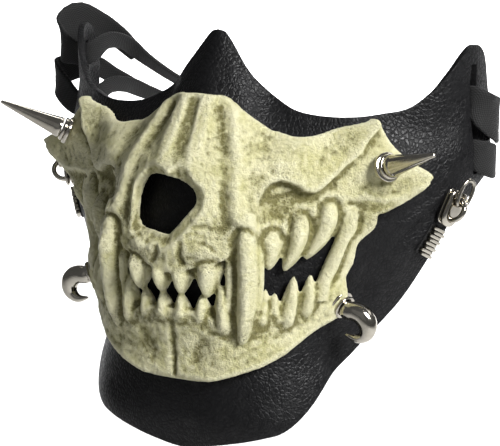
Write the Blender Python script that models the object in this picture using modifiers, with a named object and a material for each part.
"""Skull half mask: a moulded leather half mask that carries a cast skull face.

The frame is metres with +Z up. The vertical axis of the wearer's head is the
Z axis, the height of the mouth is Z = 0, and the face looks along -Y.
The skin of the mask is described by an angle round that axis, zero straight
ahead, a height, and a radius. The skull follows the leather at a stand-off.
"""

import math

import bmesh
import bpy
import numpy as np
from mathutils import Matrix, Vector

MM = 0.001

# Driving dimensions of the leather.
MASK_RADIUS = 84 * MM
MASK_HEIGHT = 146 * MM
LEATHER_WALL = 2.4 * MM
WING_ANGLE = 97.0

# Driving dimensions of the cast skull.
SKULL_WALL = 3.6 * MM
SKULL_STAND_OFF = 0.9 * MM
SKULL_RISE = 7.0 * MM
TOOTH_SIZE = 4.6 * MM
STRUT_LIFT = 0.7 * MM

# Clearance that pieces keep where they seat or pass through each other.
SEAT_GAP = 0.3 * MM

# Pad under a collar: share of the collar's radius, height and depth from the skull's face.
BOSS_SHARE = 0.9
BOSS_HEIGHT = 0.8 * SEAT_GAP
BOSS_ROOT = 0.8 * SKULL_WALL

# Corners closer than this are one: at mirror planes and axes, and after Booleans.
JOIN_REACH = 0.02 * MM
MERGE_REACH = 0.005 * MM

# Spikes at the cheek corners.
SPIKE_LENGTH = 24.5 * MM
SPIKE_RADIUS = 3.9 * MM
SPIKE_TIP = 0.7 * MM
SPIKE_COLLAR_RADIUS = 5.2 * MM
SPIKE_COLLAR_HEIGHT = 3.0 * MM
# Where each spike sits and looks: side, label, angle, share of MASK_HEIGHT and upward tilt.
SPIKE_SEATS = (
    (-1, "left", 57.5, 0.2315, 25.0),
    (1, "right", 58.6, 0.2137, 18.0),
)

# Curved claws at the corners of the lower jaw.
CLAW_REACH = 7.0 * MM
CLAW_DROP = 9.6 * MM
CLAW_RADIUS = 3.5 * MM
CLAW_TIP = 0.4 * MM
CLAW_COLLAR_RADIUS = 5.1 * MM
CLAW_COLLAR_HEIGHT = 4.2 * MM
CLAW_ROOT = 1.5 * MM
CLAW_ANGLE = 47.5
CLAW_HEIGHT = -0.111 * MASK_HEIGHT
CLAW_TILT = -22.0
CLAW_COLLAR_TURN = 70.0
CLAW_PLANE_TURN = 92.0
CLAW_CLEARANCE = 0.5 * MM

# Straps and the slots that they pass through.
STRAP_WIDTH = 16.5 * MM
STRAP_THICKNESS = 1.6 * MM
STRAP_CLEARANCE = 0.9 * MM
SLOT_ANGLE = 89.0

# Zipper at each lower rear edge.
ZIP_WIDTH = 6.2 * MM
ZIP_RIB = 0.75 * MM
ZIP_RIBS = 8
ZIP_TAPE = 0.9 * MM
SLIDER_LENGTH = 13.5 * MM
SLIDER_WIDTH = 8.6 * MM
SLIDER_HEIGHT = 3.6 * MM
BRIDGE_HEIGHT = 4.6 * MM
BRIDGE_WIRE = 1.0 * MM
PULL_LENGTH = 10.0 * MM
PULL_WIDTH = 5.8 * MM
PULL_WIRE = 0.75 * MM
PULL_START = 1.6 * MM
PULL_CORNERS = 12

# Fineness of the faceted surfaces.
LEATHER_COLUMNS = 23
LEATHER_ROWS = 10
NOSE_RINGS = 4
GATE_TURNS = 3
FACE_ROWS = 7
JAW_ROWS = 5
STRUT_COLUMNS = 4

# Leather sections: height, then the radius at each of the angles below,
# as shares of MASK_HEIGHT and of MASK_RADIUS.
SECTION_ANGLES = (0, 14, 28, 42, 56, 70, 84, 98)
LEATHER_SECTIONS = (
    # height   front  nostril cheek  eye    socket temple ear    rear
    (0.514,    0.476, 0.429, 0.429, 0.524, 0.655, 0.786, 0.952, 1.006),
    (0.384,    0.607, 0.565, 0.500, 0.560, 0.679, 0.804, 0.952, 1.006),
    (0.301,    0.685, 0.655, 0.607, 0.643, 0.726, 0.821, 0.958, 1.012),
    (0.199,    0.768, 0.756, 0.720, 0.732, 0.798, 0.887, 0.982, 1.024),
    (0.048,    0.810, 0.810, 0.774, 0.762, 0.804, 0.881, 0.952, 0.982),
    (-0.110,   0.821, 0.821, 0.786, 0.756, 0.768, 0.821, 0.869, 0.893),
    (-0.247,   0.821, 0.827, 0.810, 0.762, 0.726, 0.750, 0.786, 0.810),
    (-0.342,   0.833, 0.851, 0.850, 0.806, 0.726, 0.704, 0.714, 0.738),
    (-0.411,   0.845, 0.869, 0.876, 0.820, 0.732, 0.672, 0.667, 0.679),
    (-0.479,   0.827, 0.851, 0.852, 0.790, 0.702, 0.648, 0.643, 0.643),
)

# Upper and lower rims of the leather: angle, then heights as shares of MASK_HEIGHT.
LEATHER_RIMS = (
    # angle  top     bottom
    (0.0,    0.518,  -0.486),
    (4.0,    0.512,  -0.482),
    (8.0,    0.490,  -0.474),
    (12.0,   0.462,  -0.466),
    (16.0,   0.433,  -0.458),
    (20.0,   0.407,  -0.450),
    (25.0,   0.382,  -0.439),
    (31.0,   0.357,  -0.424),
    (38.0,   0.333,  -0.380),
    (47.0,   0.322,  -0.308),
    (57.0,   0.321,  -0.262),
    (65.0,   0.328,  -0.198),
    (72.0,   0.338,  -0.122),
    (77.0,   0.372,  -0.034),
    (81.0,   0.416,  0.045),
    (85.0,   0.460,  0.092),
    (88.5,   0.480,  0.118),
    (92.0,   0.474,  0.137),
    (95.0,   0.440,  0.152),
    (97.0,   0.360,  0.175),
)

# Swellings of the skull over its seat: angle, height, spread both ways, rise.
# Heights and their spreads are shares of MASK_HEIGHT, rises shares of SKULL_RISE.
SKULL_SWELLS = (
    # name          angle  height  wide  tall   rise
    ("muzzle",      0.0,   0.137,  17.0, 0.140, 1.00),
    ("front teeth", 0.0,   -0.075, 24.0, 0.120, 0.55),
    ("cheek",       32.0,  0.185,  12.0, 0.085, 0.42),
    ("corner",      57.5,  0.235,  7.0,  0.055, 0.50),
    ("canine root", 20.5,  0.050,  4.5,  0.080, 0.35),
    ("jaw corner",  47.0,  -0.120, 8.0,  0.060, 0.30),
    ("brow ridge",  5.5,   0.300,  2.6,  0.090, 0.22),
    ("cheek ledge", 30.0,  0.225,  9.0,  0.022, 0.22),
    ("hollow",      32.0,  0.130,  7.0,  0.035, -0.50),
    ("brow dip",    37.5,  0.290,  8.0,  0.045, 0.50),
    ("corner tip",  60.0,  0.325,  6.0,  0.050, 0.55),
    ("rear corner", 68.5,  0.190,  5.5,  0.160, 1.25),
)

# Rim of the nasal opening, from its top round to its bottom: angle, height share.
NASAL_RIM = (
    (0.0, 0.202),
    (3.0, 0.204),
    (5.8, 0.198),
    (8.2, 0.178),
    (9.3, 0.151),
    (9.2, 0.123),
    (7.9, 0.097),
    (5.8, 0.074),
    (2.8, 0.057),
    (0.0, 0.051),
)

# Round the nasal opening the wall thins to a share of SKULL_WALL.
NASAL_WALL_SHARE = 0.2
NASAL_MIDDLE = 0.128
NASAL_THIN_ANGLE = 12.5
NASAL_THIN_HEIGHT = 0.11

# Upper face: angle, then upper and lower edge as shares of MASK_HEIGHT.
FACE_EDGES = (
    (0.0, 0.375, -0.032),
    (5.5, 0.373, -0.021),
    (10.0, 0.369, -0.006),
    (14.0, 0.353, 0.002),
    (17.5, 0.336, 0.016),
    (20.5, 0.322, 0.029),
    (24.0, 0.307, 0.040),
    (28.0, 0.292, 0.045),
    (31.0, 0.289, 0.055),
    (35.0, 0.282, 0.072),
    (40.0, 0.282, 0.090),
    (44.5, 0.287, 0.098),
    (49.5, 0.298, 0.096),
    (54.5, 0.308, 0.096),
    (57.5, 0.316, 0.099),
    (59.5, 0.322, 0.104),
    (61.8, 0.267, 0.116),
    (64.0, 0.235, 0.134),
    (65.8, 0.215, 0.155),
    (67.0, 0.206, 0.174),
    (67.7, 0.196, 0.188),
)
# The part of the upper face whose grid runs round the nasal opening.
NOSE_GATE = 14.0

# Lower jaw: angle, then upper and lower edge as shares of MASK_HEIGHT.
JAW_EDGES = (
    (0.0, -0.137, -0.305),
    (4.5, -0.138, -0.304),
    (8.8, -0.141, -0.302),
    (12.0, -0.154, -0.297),
    (15.0, -0.164, -0.289),
    (19.0, -0.161, -0.278),
    (24.0, -0.151, -0.263),
    (28.0, -0.127, -0.248),
    (31.5, -0.144, -0.233),
    (36.0, -0.127, -0.207),
    (41.0, -0.090, -0.182),
    (45.5, -0.076, -0.163),
    (50.0, -0.072, -0.147),
)

# Cheek strut that joins the jaws at the corner of the mouth:
# height share, then the angles of its front and rear edges.
STRUT_EDGES = (
    (0.110, 48.2, 57.8),
    (0.062, 47.8, 56.6),
    (0.027, 46.4, 53.4),
    (-0.021, 43.6, 52.2),
    (-0.068, 41.0, 49.4),
    (-0.100, 39.5, 49.0),
)

# Teeth of one side: root and tip as angle and height share, half width and
# stand-off as shares of TOOTH_SIZE.
TEETH = (
    # name             root angle, height  tip angle, height  width  lift
    ("upper_incisor_1", 2.9,  -0.018,       2.9,  -0.085,      0.90,  0.00),
    ("upper_incisor_2", 10.4, 0.008,        10.1, -0.086,      1.02,  0.00),
    ("upper_canine",    20.8, 0.080,        19.3, -0.200,      1.05,  0.35),
    ("upper_side_1",    27.0, 0.062,        26.5, -0.022,      0.90,  0.05),
    ("upper_side_2",    35.5, 0.096,        31.0, -0.027,      1.02,  0.05),
    ("upper_side_3",    44.8, 0.118,        37.4, -0.002,      1.00,  0.05),
    ("lower_incisor_1", 2.7,  -0.150,       2.7,  -0.082,      0.78,  -0.30),
    ("lower_incisor_2", 8.8,  -0.156,       8.6,  -0.084,      0.74,  -0.35),
    ("lower_canine",    14.9, -0.182,       13.9, -0.057,      0.82,  -0.20),
    ("lower_side_1",    24.6, -0.166,       25.9, -0.071,      0.60,  -0.10),
    ("lower_side_2",    28.6, -0.140,       28.4, -0.080,      0.46,  0.00),
    ("lower_side_3",    31.4, -0.166,       34.0, -0.044,      0.74,  0.05),
    ("lower_side_4",    37.4, -0.142,       39.2, -0.043,      0.66,  0.05),
)

# How a tooth narrows from root to tip: share of its length, share of its width.
TOOTH_TAPER = ((0.0, 0.86), (0.3, 1.0), (0.6, 0.82), (0.85, 0.46), (1.0, 0.12))

# Turned collars from top to bottom: shares of the collar's radius and height.
SPIKE_COLLAR_PROFILE = (
    (0.0, 1.0), (0.84, 1.0), (0.90, 0.90), (0.90, 0.50), (1.0, 0.425), (1.0, 0.0), (0.0, 0.0),
)
CLAW_COLLAR_PROFILE = (
    (0.0, 1.0), (0.78, 1.0), (0.84, 0.95), (0.84, 0.75), (0.74, 0.70), (0.74, 0.55),
    (1.0, 0.50), (1.0, 0.0), (0.0, 0.0),
)

# A claw in its own plane: shares of CLAW_REACH, of CLAW_DROP and of its radius.
CLAW_PATH = (
    (0.00, 0.00, 0.96),
    (0.33, 0.00, 1.00),
    (0.68, -0.10, 1.03),
    (0.94, -0.32, 1.00),
    (1.00, -0.60, 0.88),
    (0.84, -0.86, 0.68),
    (0.42, -1.00, 0.44),
    (-0.22, -0.90, 0.12),
)

# Straps from the middle of the back to the loop's end. Places in plan are shares
# of MASK_RADIUS. Each strap has its width as a share of STRAP_WIDTH, the turn of
# its upper edge inwards in degrees, and its heights as shares of MASK_HEIGHT.
STRAP_STATIONS = (
    #               upper strap                 lower strap
    # x      y       width turn  left   right   width turn  left   right
    (0.000,  0.952,  0.50, 0.0,  0.132, 0.132,  0.50, 0.0,  0.050, 0.050),
    (0.230,  0.924,  0.50, 20.0, 0.145, 0.134,  0.50, 15.0, 0.062, 0.053),
    (0.440,  0.843,  0.48, 45.0, 0.180, 0.148,  0.48, 35.0, 0.098, 0.072),
    (0.625,  0.705,  0.46, 65.0, 0.226, 0.174,  0.46, 50.0, 0.152, 0.099),
    (0.765,  0.530,  0.45, 72.0, 0.292, 0.206,  0.45, 58.0, 0.220, 0.126),
    (0.857,  0.350,  0.45, 68.0, 0.367, 0.246,  0.45, 50.0, 0.271, 0.150),
    (0.882,  0.238,  0.38, 45.0, 0.412, 0.270,  0.38, 30.0, 0.296, 0.168),
    (0.903,  0.110,  0.40, 18.0, 0.428, 0.305,  0.38, 10.0, 0.303, 0.188),
    (0.922,  0.014,  0.46, 0.0,  0.408, 0.335,  0.44, 0.0,  0.274, 0.204),
    (0.957,  -0.017, 0.50, 0.0,  0.396, 0.350,  0.50, 0.0,  0.254, 0.216),
    (1.000,  -0.017, 0.56, 0.0,  0.400, 0.347,  0.58, 0.0,  0.266, 0.216),
    (1.048,  0.008,  0.80, 0.0,  0.412, 0.320,  0.70, 0.0,  0.312, 0.205),
    (1.072,  0.074,  0.90, 0.0,  0.437, 0.296,  0.72, 0.0,  0.332, 0.190),
    (1.050,  0.145,  1.00, 0.0,  0.470, 0.286,  0.62, 0.0,  0.345, 0.178),
    (1.010,  0.214,  0.68, 5.0,  0.462, 0.268,  0.46, 5.0,  0.348, 0.172),
    (0.966,  0.286,  0.55, 25.0, 0.428, 0.256,  0.40, 20.0, 0.310, 0.166),
    (0.905,  0.376,  0.45, 50.0, 0.368, 0.240,  0.38, 40.0, 0.274, 0.154),
)
# How far each loop stands off its wing, as a share of the listed reach: left, right.
UPPER_LOOPS = (1.55, 0.80)
LOWER_LOOPS = (1.90, 0.72)
LOOP_START = 0.96
STRAP_SAMPLES = 2

# Slots in the wings: lower and upper end as shares of MASK_HEIGHT.
STRAP_SLOTS = ((0.164, 0.292), (0.306, 0.434))

# Zipper line on the leather: angle and height share, from its low end upwards.
ZIP_LINE = ((74.0, -0.020), (75.7, 0.014), (77.5, 0.048))
SLIDER_SPOT = (79.6, 0.097)
PULL_SLOPE = 0.06


def curve_through(stations, values, place):
    """Smooth curve through values given at rising stations, read at one place."""
    last = len(stations) - 1
    place = min(max(place, stations[0]), stations[-1])
    low = min(int(np.searchsorted(stations, place, side="right")) - 1, last - 1)
    step = stations[low + 1] - stations[low]
    share = (place - stations[low]) / step

    def slope(index):
        before = max(index - 1, 0)
        after = min(index + 1, last)
        return (values[after] - values[before]) / (stations[after] - stations[before])

    start = slope(low) * step
    end = slope(low + 1) * step
    return ((2 * share**3 - 3 * share**2 + 1) * values[low]
            + (share**3 - 2 * share**2 + share) * start
            + (3 * share**2 - 2 * share**3) * values[low + 1]
            + (share**3 - share**2) * end)


SECTION_TABLE = np.array(LEATHER_SECTIONS)[::-1]
RIM_TABLE = np.array(LEATHER_RIMS)
MIRRORED_ANGLES = np.array([-SECTION_ANGLES[1]] + list(SECTION_ANGLES), dtype=float)


def leather_radius(angle, height):
    """Radius of the leather's outer face at an angle and a height."""
    radii = curve_through(SECTION_TABLE[:, 0] * MASK_HEIGHT, SECTION_TABLE[:, 1:], height)
    mirrored = np.concatenate([radii[1:2], radii])
    return float(curve_through(MIRRORED_ANGLES, mirrored, abs(angle))) * MASK_RADIUS


def skull_relief(angle, height):
    """Rise of the skull's face over its plain stand-off from the leather."""
    rise = 0.0
    for _, at_angle, at_height, wide, tall, share in SKULL_SWELLS:
        across = (abs(angle) - at_angle) / wide
        along = (height / MASK_HEIGHT - at_height) / tall
        rise += share * math.exp(-across**2 - along**2)
    return max(rise, 0.0) * SKULL_RISE


def skull_radius(angle, height):
    """Radius of the skull's outer face at an angle and a height."""
    return leather_radius(angle, height) + SKULL_STAND_OFF + SKULL_WALL + skull_relief(angle, height)


def place(angle, height, radius):
    """Point at an angle from straight ahead, a height and a radius."""
    turn = math.radians(angle)
    return Vector((radius * math.sin(turn), -radius * math.cos(turn), height))


def surface_frame(radius_of, angle, height):
    """Point on a surface with its outward normal."""
    step_angle = 0.5
    step_height = 0.5 * MM
    middle = place(angle, height, radius_of(angle, height))
    aside = place(angle + step_angle, height, radius_of(angle + step_angle, height)) - middle
    above = place(angle, height + step_height, radius_of(angle, height + step_height)) - middle
    return middle, aside.cross(above).normalized()


def fresh_scene():
    """Remove what the scene holds and make the two collections."""
    for item in list(bpy.data.objects):
        bpy.data.objects.remove(item, do_unlink=True)
    parts = bpy.data.collections.new("skull_half_mask")
    cutters = bpy.data.collections.new("cutters")
    bpy.context.scene.collection.children.link(parts)
    bpy.context.scene.collection.children.link(cutters)
    return parts, cutters


def material(name, colour, roughness, metallic=0.0):
    """Principled material with one colour."""
    made = bpy.data.materials.new(name)
    made.use_nodes = True
    shader = made.node_tree.nodes["Principled BSDF"]
    shader.inputs["Base Color"].default_value = (*colour, 1.0)
    shader.inputs["Roughness"].default_value = roughness
    shader.inputs["Metallic"].default_value = metallic
    return made


def add_object(name, mesh, collection, finish=None):
    """Put a mesh into a collection as an object of its own."""
    item = bpy.data.objects.new(name, mesh)
    collection.objects.link(item)
    if finish is not None:
        mesh.materials.clear()
        mesh.materials.append(finish)
    return item


def mesh_of(name, points, faces):
    """Mesh from points and faces."""
    mesh = bpy.data.meshes.new(name)
    mesh.from_pydata([tuple(point) for point in points], [], faces)
    mesh.update()
    return mesh


def wall_mesh(name, outer, inner, open_sides=()):
    """Wall between two grids of points, closed at each border that isn't open.

    The grids run row by row. Their borders are first_row, last_row,
    first_column and last_column.
    """
    rows = len(outer)
    columns = len(outer[0])
    points = [point for row in outer for point in row] + [point for row in inner for point in row]
    offset = rows * columns

    def spot(row, column):
        return row * columns + column

    faces = []
    for row in range(rows - 1):
        for column in range(columns - 1):
            ring = (spot(row, column), spot(row + 1, column),
                    spot(row + 1, column + 1), spot(row, column + 1))
            faces.append(ring)
            faces.append(tuple(offset + index for index in reversed(ring)))
    borders = {
        "first_row": [spot(0, column) for column in range(columns)],
        "last_row": [spot(rows - 1, column) for column in reversed(range(columns))],
        "first_column": [spot(row, 0) for row in reversed(range(rows))],
        "last_column": [spot(row, columns - 1) for row in range(rows)],
    }
    for side, border in borders.items():
        if side in open_sides:
            continue
        for start, end in zip(border[:-1], border[1:]):
            faces.append((start, end, offset + end, offset + start))
    return mesh_of(name, points, faces)


def spend_modifiers(item):
    """Replace an object's mesh by the one that its modifiers make."""
    graph = bpy.context.evaluated_depsgraph_get()
    mesh = bpy.data.meshes.new_from_object(item.evaluated_get(graph))
    item.modifiers.clear()
    item.data = mesh
    return item


def mirror_halves(item):
    """Mirror a half across the middle plane and join it there."""
    mirror = item.modifiers.new("mirror", "MIRROR")
    mirror.merge_threshold = JOIN_REACH
    return item


def unite(base, others):
    """Join closed bodies to a base body, and remove the others."""
    for other in others:
        join = base.modifiers.new("join", "BOOLEAN")
        join.operation = "UNION"
        join.solver = "EXACT"
        join.object = other
        settle(base)
        bpy.data.objects.remove(other, do_unlink=True)
    return base


def settle(item):
    """Spend an object's modifiers and merge the corners that they leave on each other."""
    spend_modifiers(item)
    work = bmesh.new()
    work.from_mesh(item.data)
    bmesh.ops.remove_doubles(work, verts=work.verts, dist=MERGE_REACH)
    bmesh.ops.dissolve_degenerate(work, edges=work.edges, dist=MERGE_REACH)
    work.to_mesh(item.data)
    work.free()
    return item


def cut_away(base, cutter):
    """Cut a hidden cutter's volume from a body."""
    cutter.hide_render = True
    cutter.display_type = "WIRE"
    cut = base.modifiers.new("cut", "BOOLEAN")
    cut.operation = "DIFFERENCE"
    cut.solver = "EXACT"
    cut.object = cutter


def closed_tube(name, points, radii, collection, sides_setting=2, ring=False):
    """Tube through points with a radius at each, made a closed mesh."""
    curve = bpy.data.curves.new(name, "CURVE")
    curve.dimensions = "3D"
    curve.bevel_depth = 1.0
    curve.bevel_resolution = sides_setting
    curve.use_fill_caps = not ring
    spline = curve.splines.new("POLY")
    spline.use_cyclic_u = ring
    spline.points.add(len(points) - 1)
    for spot, point, radius in zip(spline.points, points, radii):
        spot.co = (*point, 1.0)
        spot.radius = radius
    guide = bpy.data.objects.new(name + "_guide", curve)
    collection.objects.link(guide)
    bpy.context.view_layer.update()
    graph = bpy.context.evaluated_depsgraph_get()
    mesh = bpy.data.meshes.new_from_object(guide.evaluated_get(graph))
    work = bmesh.new()
    work.from_mesh(mesh)
    bmesh.ops.remove_doubles(work, verts=work.verts, dist=JOIN_REACH / 2)
    bmesh.ops.recalc_face_normals(work, faces=work.faces)
    work.to_mesh(mesh)
    work.free()
    bpy.data.objects.remove(guide, do_unlink=True)
    mesh.name = name
    return mesh


def turned(name, profile, collection, finish, sides=16):
    """Turned piece from a profile of radius and height, top to bottom."""
    points = [(radius, 0.0, height) for radius, height in profile]
    mesh = bpy.data.meshes.new(name)
    mesh.from_pydata(points, [(index, index + 1) for index in range(len(points) - 1)], [])
    item = add_object(name, mesh, collection, finish)
    screw = item.modifiers.new("turn", "SCREW")
    screw.steps = sides
    screw.render_steps = sides
    screw.use_merge_vertices = True
    screw.merge_threshold = JOIN_REACH
    return item


def sized_profile(shares, radius, height):
    """Profile of a turned piece from its table of shares."""
    return [(share * radius, level * height) for share, level in shares]


def aim(item, point, direction):
    """Stand a piece that was made along +Z on a point, looking along a direction."""
    item.location = point
    item.rotation_mode = "QUATERNION"
    item.rotation_quaternion = direction.to_track_quat("Z", "Y")
    return item


def leather_wall(name, outer_rise, inner_depth):
    """Half of a wall that follows the leather's outer face, from one offset to another."""
    outer = []
    inner = []
    columns = RIM_TABLE[:, 0] * WING_ANGLE / RIM_TABLE[-1, 0]
    for step in range(LEATHER_COLUMNS):
        angle = WING_ANGLE * step / (LEATHER_COLUMNS - 1)
        top = float(curve_through(columns, RIM_TABLE[:, 1], angle)) * MASK_HEIGHT
        bottom = float(curve_through(columns, RIM_TABLE[:, 2], angle)) * MASK_HEIGHT
        outer_column = []
        inner_column = []
        for row in range(LEATHER_ROWS):
            height = bottom + (top - bottom) * row / (LEATHER_ROWS - 1)
            point, normal = surface_frame(leather_radius, angle, height)
            if step == 0:
                normal.x = 0.0
                normal.normalize()
            outer_column.append(point + normal * outer_rise)
            inner_column.append(point - normal * inner_depth)
        outer.append(outer_column)
        inner.append(inner_column)
    return wall_mesh(name, outer, inner, open_sides=("first_row",))


def make_leather(parts, cutters, finish):
    """Leather shell of the mask, with the slots for the straps cut through its wings."""
    mesh = leather_wall("leather_shell", 0.0, LEATHER_WALL)
    shell = mirror_halves(add_object("leather_shell", mesh, parts, finish))
    slot_width = STRAP_THICKNESS + 2 * STRAP_CLEARANCE
    for side in (-1, 1):
        for low, high in STRAP_SLOTS:
            middle = (low + high) / 2 * MASK_HEIGHT
            centre = place(side * SLOT_ANGLE, middle, leather_radius(SLOT_ANGLE, middle))
            bpy.ops.mesh.primitive_cube_add(size=1.0)
            cutter = bpy.context.active_object
            cutter.name = "slot_cutter"
            cutter.scale = (slot_width, LEATHER_WALL * 5, (high - low) * MASK_HEIGHT)
            cutter.location = centre
            cutter.rotation_euler = (0.0, 0.0, math.radians(side * SLOT_ANGLE))
            for home in list(cutter.users_collection):
                home.objects.unlink(cutter)
            cutters.objects.link(cutter)
            cut_away(shell, cutter)
    return shell


def skull_wall_points(angle, height, lift=0.0):
    """Outer and inner point of the skull's wall, which thins towards the nasal opening."""
    radius = skull_radius(angle, height) + lift
    across = angle / NASAL_THIN_ANGLE
    along = (height / MASK_HEIGHT - NASAL_MIDDLE) / NASAL_THIN_HEIGHT
    near = math.exp(-(across**2 + along**2) ** 2)
    wall = SKULL_WALL * (1.0 - (1.0 - NASAL_WALL_SHARE) * near)
    return place(angle, height, radius), place(angle, height, radius - wall)


def wall_from_spots(name, rows, open_sides=(), lift=0.0):
    """Skull wall over a grid of angles and heights."""
    outer = []
    inner = []
    for row in rows:
        pairs = [skull_wall_points(angle, height, lift) for angle, height in row]
        outer.append([pair[0] for pair in pairs])
        inner.append([pair[1] for pair in pairs])
    return wall_mesh(name, outer, inner, open_sides)


def joined_walls(name, meshes, collection):
    """One mirrored body from walls that share borders."""
    work = bmesh.new()
    for mesh in meshes:
        work.from_mesh(mesh)
        bpy.data.meshes.remove(mesh)
    bmesh.ops.remove_doubles(work, verts=work.verts, dist=MERGE_REACH)
    mesh = bpy.data.meshes.new(name)
    work.to_mesh(mesh)
    work.free()
    return spend_modifiers(mirror_halves(add_object(name, mesh, collection)))


def make_face(collection):
    """Upper face: a ring of walls round the nasal opening, and the cheek beside it."""
    edges = np.array(FACE_EDGES)
    rim = np.array(NASAL_RIM)
    rim_stations = np.linspace(0.0, 1.0, len(rim))
    gate_top, gate_bottom = curve_through(edges[:, 0], edges[:, 1:], NOSE_GATE)
    targets = []
    for step in range(GATE_TURNS):
        angle = NOSE_GATE * step / GATE_TURNS
        targets.append((angle, curve_through(edges[:, 0], edges[:, 1], angle)))
    for step in range(FACE_ROWS):
        targets.append((NOSE_GATE, gate_top + (gate_bottom - gate_top) * step / (FACE_ROWS - 1)))
    for step in reversed(range(GATE_TURNS)):
        angle = NOSE_GATE * step / GATE_TURNS
        targets.append((angle, curve_through(edges[:, 0], edges[:, 2], angle)))
    rays = []
    for step, (edge_angle, edge_share) in enumerate(targets):
        rim_angle, rim_share = curve_through(rim_stations, rim, step / (len(targets) - 1))
        if step in (0, len(targets) - 1):
            rim_angle = 0.0
        ray = []
        for ring in range(NOSE_RINGS):
            share = ring / (NOSE_RINGS - 1)
            height = (rim_share + (edge_share - rim_share) * share) * MASK_HEIGHT
            ray.append((rim_angle + (edge_angle - rim_angle) * share, height))
        rays.append(ray)
    side_start = GATE_TURNS
    side_end = GATE_TURNS + FACE_ROWS
    shared_rows = ("first_row", "last_row")
    above = wall_from_spots("above_nose", rays[:side_start + 1], shared_rows)
    beside = wall_from_spots("beside_nose", rays[side_start:side_end], shared_rows + ("last_column",))
    below = wall_from_spots("below_nose", rays[side_end - 1:], shared_rows)
    cheek_edges = [row for row in FACE_EDGES if row[0] >= NOSE_GATE]
    cheek = wall_from_spots("cheek", band_spots(cheek_edges, FACE_ROWS), ("first_row",))
    return joined_walls("skull_cast", [above, beside, below, cheek], collection)


def band_spots(edges, count):
    """Grid between an upper and a lower edge, one column for each listed angle."""
    rows = []
    for angle, top, bottom in edges:
        heights = [(bottom + (top - bottom) * step / (count - 1)) * MASK_HEIGHT for step in range(count)]
        rows.append([(angle, height) for height in heights])
    return rows


def strut_spots():
    """Grid over the cheek strut, from its top down."""
    rows = []
    for share, front, rear in STRUT_EDGES:
        angles = [front + (rear - front) * step / (STRUT_COLUMNS - 1) for step in range(STRUT_COLUMNS)]
        rows.append([(angle, share * MASK_HEIGHT) for angle in angles])
    return rows


def make_tooth(name, root, tip, width, lift, collection):
    """Tapered tooth that hangs in the skull's surface from its root to its tip."""
    points = []
    radii = []
    for share, taper in TOOTH_TAPER:
        angle = root[0] + (tip[0] - root[0]) * share
        height = (root[1] + (tip[1] - root[1]) * share) * MASK_HEIGHT
        radius = skull_radius(angle, height) - 0.55 * SKULL_WALL + lift
        points.append(place(angle, height, radius))
        radii.append(width * taper)
    return add_object(name, closed_tube(name, points, radii, collection), collection)


def direction_of(angle, tilt):
    """Unit vector at an angle from straight ahead, tilted up."""
    level = place(angle, 0.0, math.cos(math.radians(tilt)))
    return Vector((level.x, level.y, math.sin(math.radians(tilt))))


def spike_seat(angle, share, tilt):
    """Centre of a spike's seat on the skull, and the spike's direction."""
    height = share * MASK_HEIGHT
    return place(angle, height, skull_radius(angle, height)), direction_of(angle, tilt)


def claw_seat():
    """Centre of a claw's seat on the leather, and its collar's direction."""
    point, normal = surface_frame(leather_radius, CLAW_ANGLE, CLAW_HEIGHT)
    direction = direction_of(CLAW_COLLAR_TURN, CLAW_TILT)
    lean = math.sqrt(1.0 - min(direction.dot(normal), 1.0) ** 2)
    return point + direction * (CLAW_COLLAR_RADIUS * lean + SEAT_GAP), direction


def mirrored(vector, side):
    """A vector of the right side, or its mirror image for the left side."""
    return Vector((vector.x * side, vector.y, vector.z))


def make_boss(name, seat, direction, radius, collection):
    """Round pad at a seat, rooted in the skull's wall."""
    item = turned(name, ((0.0, BOSS_HEIGHT), (radius, BOSS_HEIGHT), (radius, -BOSS_ROOT), (0.0, -BOSS_ROOT)),
                  collection, None)
    aim(item, seat, direction)
    bpy.context.view_layer.update()
    spend_modifiers(item)
    item.data.transform(item.matrix_world)
    item.matrix_world = Matrix.Identity(4)
    return item


def collar_cutter(name, seat, direction, radius, height, depth, cutters):
    """Cylinder that clears the room of a collar."""
    cutter = turned(name, ((0.0, height), (radius, height), (radius, -depth), (0.0, -depth)), cutters, None)
    return aim(cutter, seat, direction)


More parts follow.
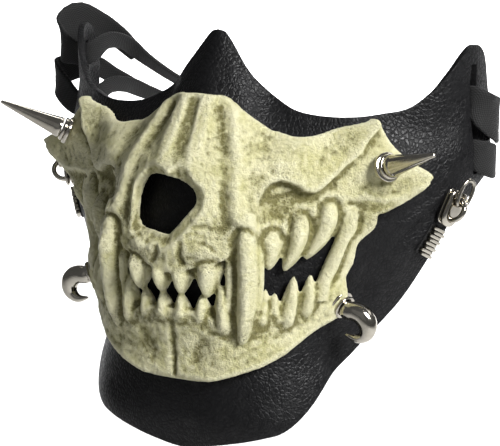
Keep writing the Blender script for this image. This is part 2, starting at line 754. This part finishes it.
def make_skull(parts, cutters, finish):
    """Cast skull: upper face, lower jaw, cheek struts, teeth and seats in one body."""
    jaw = joined_walls("lower_jaw", [wall_from_spots("jaw", band_spots(JAW_EDGES, JAW_ROWS), ("first_row",))],
                       parts)
    strut = joined_walls("cheek_struts", [wall_from_spots("strut", strut_spots(), lift=STRUT_LIFT)], parts)
    unite(jaw, [strut])
    skull = make_face(parts)
    pieces = [jaw]
    for name, root_angle, root, tip_angle, tip, width, lift in TEETH:
        pieces.append(make_tooth(name, (root_angle, root), (tip_angle, tip),
                                 width * TOOTH_SIZE, lift * TOOTH_SIZE, parts))
    unite(skull, pieces)
    halves = skull.modifiers.new("halves", "MIRROR")
    halves.use_bisect_axis[0] = True
    halves.bisect_threshold = JOIN_REACH
    halves.merge_threshold = JOIN_REACH
    settle(skull)
    seat_cutter = mirror_halves(add_object("leather_clearance",
                                           leather_wall("leather_clearance", SEAT_GAP, 2 * LEATHER_WALL),
                                           cutters))
    cut_away(skull, seat_cutter)
    settle(skull)
    for side, label, *spot in SPIKE_SEATS:
        seat, direction = spike_seat(*spot)
        seat = mirrored(seat, side)
        direction = mirrored(direction, side)
        cut_away(skull, collar_cutter("spike_notch_" + label, seat + direction * SEAT_GAP, direction,
                                      SPIKE_COLLAR_RADIUS + SEAT_GAP, SPIKE_LENGTH, 0.0, cutters))
        settle(skull)
        unite(skull, [make_boss("spike_boss", seat, direction, SPIKE_COLLAR_RADIUS * BOSS_SHARE, parts)])
        seat, direction = claw_seat()
        cut_away(skull, collar_cutter("claw_notch_" + label, mirrored(seat, side), mirrored(direction, side),
                                      CLAW_COLLAR_RADIUS + CLAW_CLEARANCE, CLAW_COLLAR_HEIGHT * 2,
                                      CLAW_COLLAR_HEIGHT, cutters))
        settle(skull)
    skull.data.materials.clear()
    skull.data.materials.append(finish)
    return skull


def make_spike(side, label, spot, parts, finish):
    """Cone spike on its stepped collar at one cheek corner."""
    seat, direction = spike_seat(*spot)
    seat = mirrored(seat, side)
    direction = mirrored(direction, side)
    base = seat + direction * 2 * SEAT_GAP
    collar = turned("spike_collar_" + label,
                    sized_profile(SPIKE_COLLAR_PROFILE, SPIKE_COLLAR_RADIUS, SPIKE_COLLAR_HEIGHT),
                    parts, finish)
    aim(collar, base, direction)
    spike = turned("spike_" + label, (
        (0.0, SPIKE_LENGTH),
        (SPIKE_TIP * 0.8, SPIKE_LENGTH - SPIKE_TIP * 0.4),
        (SPIKE_TIP, SPIKE_LENGTH - SPIKE_TIP * 1.2),
        (SPIKE_RADIUS, SPIKE_LENGTH * 0.06),
        (SPIKE_RADIUS, 0.0),
        (0.0, 0.0),
    ), parts, finish)
    aim(spike, base + direction * (SPIKE_COLLAR_HEIGHT + SEAT_GAP), direction)
    return [collar, spike]


def make_claw(side, label, parts, finish):
    """Curved claw that leaves its stepped collar outwards and hooks back under it."""
    seat, direction = claw_seat()
    collar = turned("claw_collar_" + label,
                    sized_profile(CLAW_COLLAR_PROFILE, CLAW_COLLAR_RADIUS, CLAW_COLLAR_HEIGHT),
                    parts, finish)
    aim(collar, mirrored(seat, side), mirrored(direction, side))
    start = seat + direction * (CLAW_COLLAR_HEIGHT + SEAT_GAP)
    bend = start + direction * CLAW_ROOT
    outwards = direction_of(CLAW_PLANE_TURN, 0.0)
    table = np.array(CLAW_PATH)
    stations = np.linspace(0.0, 1.0, len(table))
    points = [mirrored(start, side)]
    radii = [CLAW_PATH[0][2] * CLAW_RADIUS]
    for step in range(2 * len(table) - 1):
        reach, drop, share = curve_through(stations, table, step / (2 * len(table) - 2))
        point = bend + outwards * reach * CLAW_REACH + Vector((0.0, 0.0, drop * CLAW_DROP))
        points.append(mirrored(point, side))
        radii.append(max(share * CLAW_RADIUS, CLAW_TIP))
    return [collar, add_object("claw_" + label, closed_tube("claw_" + label, points, radii, parts, 3),
                               parts, finish)]


def make_strap(name, index, bulges, parts, finish):
    """Flat strap round the back of the head, with a loop through a slot at each end.

    The index is 0 for the upper strap's columns of the table and 1 for the lower's.
    """
    table = np.array(STRAP_STATIONS)
    width_column, turn_column, left_column, right_column = range(2 + 4 * index, 6 + 4 * index)
    count = (len(table) - 1) * STRAP_SAMPLES
    stations = np.arange(len(table), dtype=float)
    low_edge = []
    high_edge = []
    for step in range(-count, count + 1):
        side = -1 if step < 0 else 1
        height_column = left_column if step < 0 else right_column
        bulge = bulges[0] if step < 0 else bulges[1]
        spot = curve_through(stations, table, abs(step) / STRAP_SAMPLES)
        reach = spot[0]
        if reach > LOOP_START:
            reach = LOOP_START + (reach - LOOP_START) * bulge
        middle = Vector((side * reach, spot[1], 0.0)) * MASK_RADIUS
        inwards = -middle.normalized()
        middle.z = spot[height_column] * MASK_HEIGHT
        turn = math.radians(spot[turn_column])
        half = (Vector((0.0, 0.0, math.cos(turn))) + inwards * math.sin(turn)) * (
            spot[width_column] * STRAP_WIDTH / 2)
        low_edge.append(middle - half)
        high_edge.append(middle + half)
    columns = len(low_edge)
    faces = [(index, columns + index, columns + index + 1, index + 1) for index in range(columns - 1)]
    strap = add_object(name, mesh_of(name, low_edge + high_edge, faces), parts, finish)
    wall = strap.modifiers.new("thickness", "SOLIDIFY")
    wall.thickness = STRAP_THICKNESS
    wall.offset = 0.0
    return strap


def make_zipper(side, label, parts, finish):
    """Chain, slider and pull of the zipper along one lower rear edge of the leather."""
    line = np.array(ZIP_LINE)
    stations = np.linspace(0.0, 1.0, len(line))

    def line_frame(share):
        angle, height = curve_through(stations, line, share)
        return surface_frame(leather_radius, float(angle), float(height) * MASK_HEIGHT)

    made = []
    lift = SEAT_GAP + ZIP_TAPE / 2
    start, _ = line_frame(0.0)
    end, _ = line_frame(1.0)
    along = (end - start).normalized()
    lower = []
    upper = []
    for step in range(ZIP_RIBS + 1):
        point, normal = line_frame(step / ZIP_RIBS)
        across = normal.cross(along).normalized()
        for reach in (-0.5, 0.5):
            edge = point + across * reach * ZIP_WIDTH
            lower.append(mirrored(edge + normal * (lift - ZIP_TAPE / 2), side))
            upper.append(mirrored(edge + normal * (lift + ZIP_TAPE / 2), side))
    rows_lower = [[lower[2 * step], lower[2 * step + 1]] for step in range(ZIP_RIBS + 1)]
    rows_upper = [[upper[2 * step], upper[2 * step + 1]] for step in range(ZIP_RIBS + 1)]
    if side > 0:
        mesh = wall_mesh("zipper_chain_" + label, rows_upper, rows_lower)
    else:
        mesh = wall_mesh("zipper_chain_" + label, rows_lower, rows_upper)
    chain = add_object("zipper_chain_" + label, mesh, parts, finish)
    ribs = []
    for step in range(ZIP_RIBS):
        point, normal = line_frame((step + 0.5) / ZIP_RIBS)
        across = normal.cross(along).normalized()
        turn = Matrix((along, across, along.cross(across))).transposed()
        bpy.ops.mesh.primitive_cube_add(size=1.0)
        rib = bpy.context.active_object
        rib.name = "rib"
        pose = Matrix.Translation(point + normal * (lift + ZIP_TAPE)) @ turn.to_4x4()
        size = Matrix.Diagonal((ZIP_RIB, ZIP_WIDTH * 0.86, ZIP_TAPE * 2.2, 1.0))
        flip = Matrix.Diagonal((side, 1.0, 1.0, 1.0))
        rib.data.transform(flip @ pose @ size)
        if side < 0:
            rib.data.flip_normals()
        ribs.append(rib)
    unite(chain, ribs)
    chain.data.materials.clear()
    chain.data.materials.append(finish)
    made.append(chain)

    spot, normal = surface_frame(leather_radius, SLIDER_SPOT[0], SLIDER_SPOT[1] * MASK_HEIGHT)
    across = normal.cross(along).normalized()
    ahead = across.cross(normal).normalized()
    turn = Matrix((ahead, across, normal)).transposed().to_4x4()
    centre = spot + normal * (SEAT_GAP * 2 + SLIDER_HEIGHT / 2)
    flip = Matrix.Diagonal((side, 1.0, 1.0, 1.0))
    pose = flip @ Matrix.Translation(centre) @ turn
    bpy.ops.mesh.primitive_cube_add(size=1.0)
    slider = bpy.context.active_object
    slider.name = "zipper_slider_" + label
    slider.data.transform(Matrix.Diagonal((SLIDER_LENGTH, SLIDER_WIDTH, SLIDER_HEIGHT, 1.0)))
    bevel = slider.modifiers.new("round", "BEVEL")
    bevel.width = SLIDER_HEIGHT * 0.3
    bevel.segments = 2
    for home in list(slider.users_collection):
        home.objects.unlink(slider)
    parts.objects.link(slider)
    bpy.context.view_layer.update()
    spend_modifiers(slider)
    rise = SLIDER_HEIGHT * 0.5
    bridge_points = []
    for step in range(9):
        turn_step = math.pi * step / 8
        bridge_points.append(Vector((SLIDER_LENGTH * 0.30 * math.cos(turn_step), 0.0,
                                     rise * 0.8 + BRIDGE_HEIGHT * math.sin(turn_step))))
    bridge = add_object("bridge", closed_tube("bridge", bridge_points, [BRIDGE_WIRE] * 9, parts), parts)
    unite(slider, [bridge])
    slider.data.transform(pose)
    if side < 0:
        slider.data.flip_normals()
    slider.data.materials.clear()
    slider.data.materials.append(finish)
    made.append(slider)

    pull_points = []
    for step in range(PULL_CORNERS):
        turn_step = 2 * math.pi * step / PULL_CORNERS
        out = PULL_START + PULL_LENGTH * 0.5 * (1.0 - math.cos(turn_step))
        wide = PULL_WIDTH * 0.5 * math.sin(turn_step)
        level = rise + (BRIDGE_HEIGHT - BRIDGE_WIRE) * 0.48 - out * PULL_SLOPE
        pull_points.append(Vector((out, wide, level)))
    pull = add_object("zipper_pull_" + label,
                      closed_tube("zipper_pull_" + label, pull_points, [PULL_WIRE] * PULL_CORNERS,
                                  parts, 1, ring=True),
                      parts, finish)
    pull.data.transform(pose)
    if side < 0:
        pull.data.flip_normals()
    made.append(pull)
    return made


def build():
    """Build every part of the mask."""
    parts, cutters = fresh_scene()
    leather = material("black_leather", (0.016, 0.016, 0.018), 0.42)
    resin = material("bone_resin", (0.62, 0.58, 0.36), 0.55)
    chrome = material("dark_chrome", (0.55, 0.53, 0.50), 0.12, 1.0)
    webbing = material("black_strap", (0.012, 0.012, 0.012), 0.75)
    make_leather(parts, cutters, leather)
    make_skull(parts, cutters, resin)
    for side, label, *spot in SPIKE_SEATS:
        make_spike(side, label, spot, parts, chrome)
        make_claw(side, label, parts, chrome)
        make_zipper(side, label, parts, chrome)
    make_strap("rear_strap_upper", 0, UPPER_LOOPS, parts, webbing)
    make_strap("rear_strap_lower", 1, LOWER_LOOPS, parts, webbing)


build()
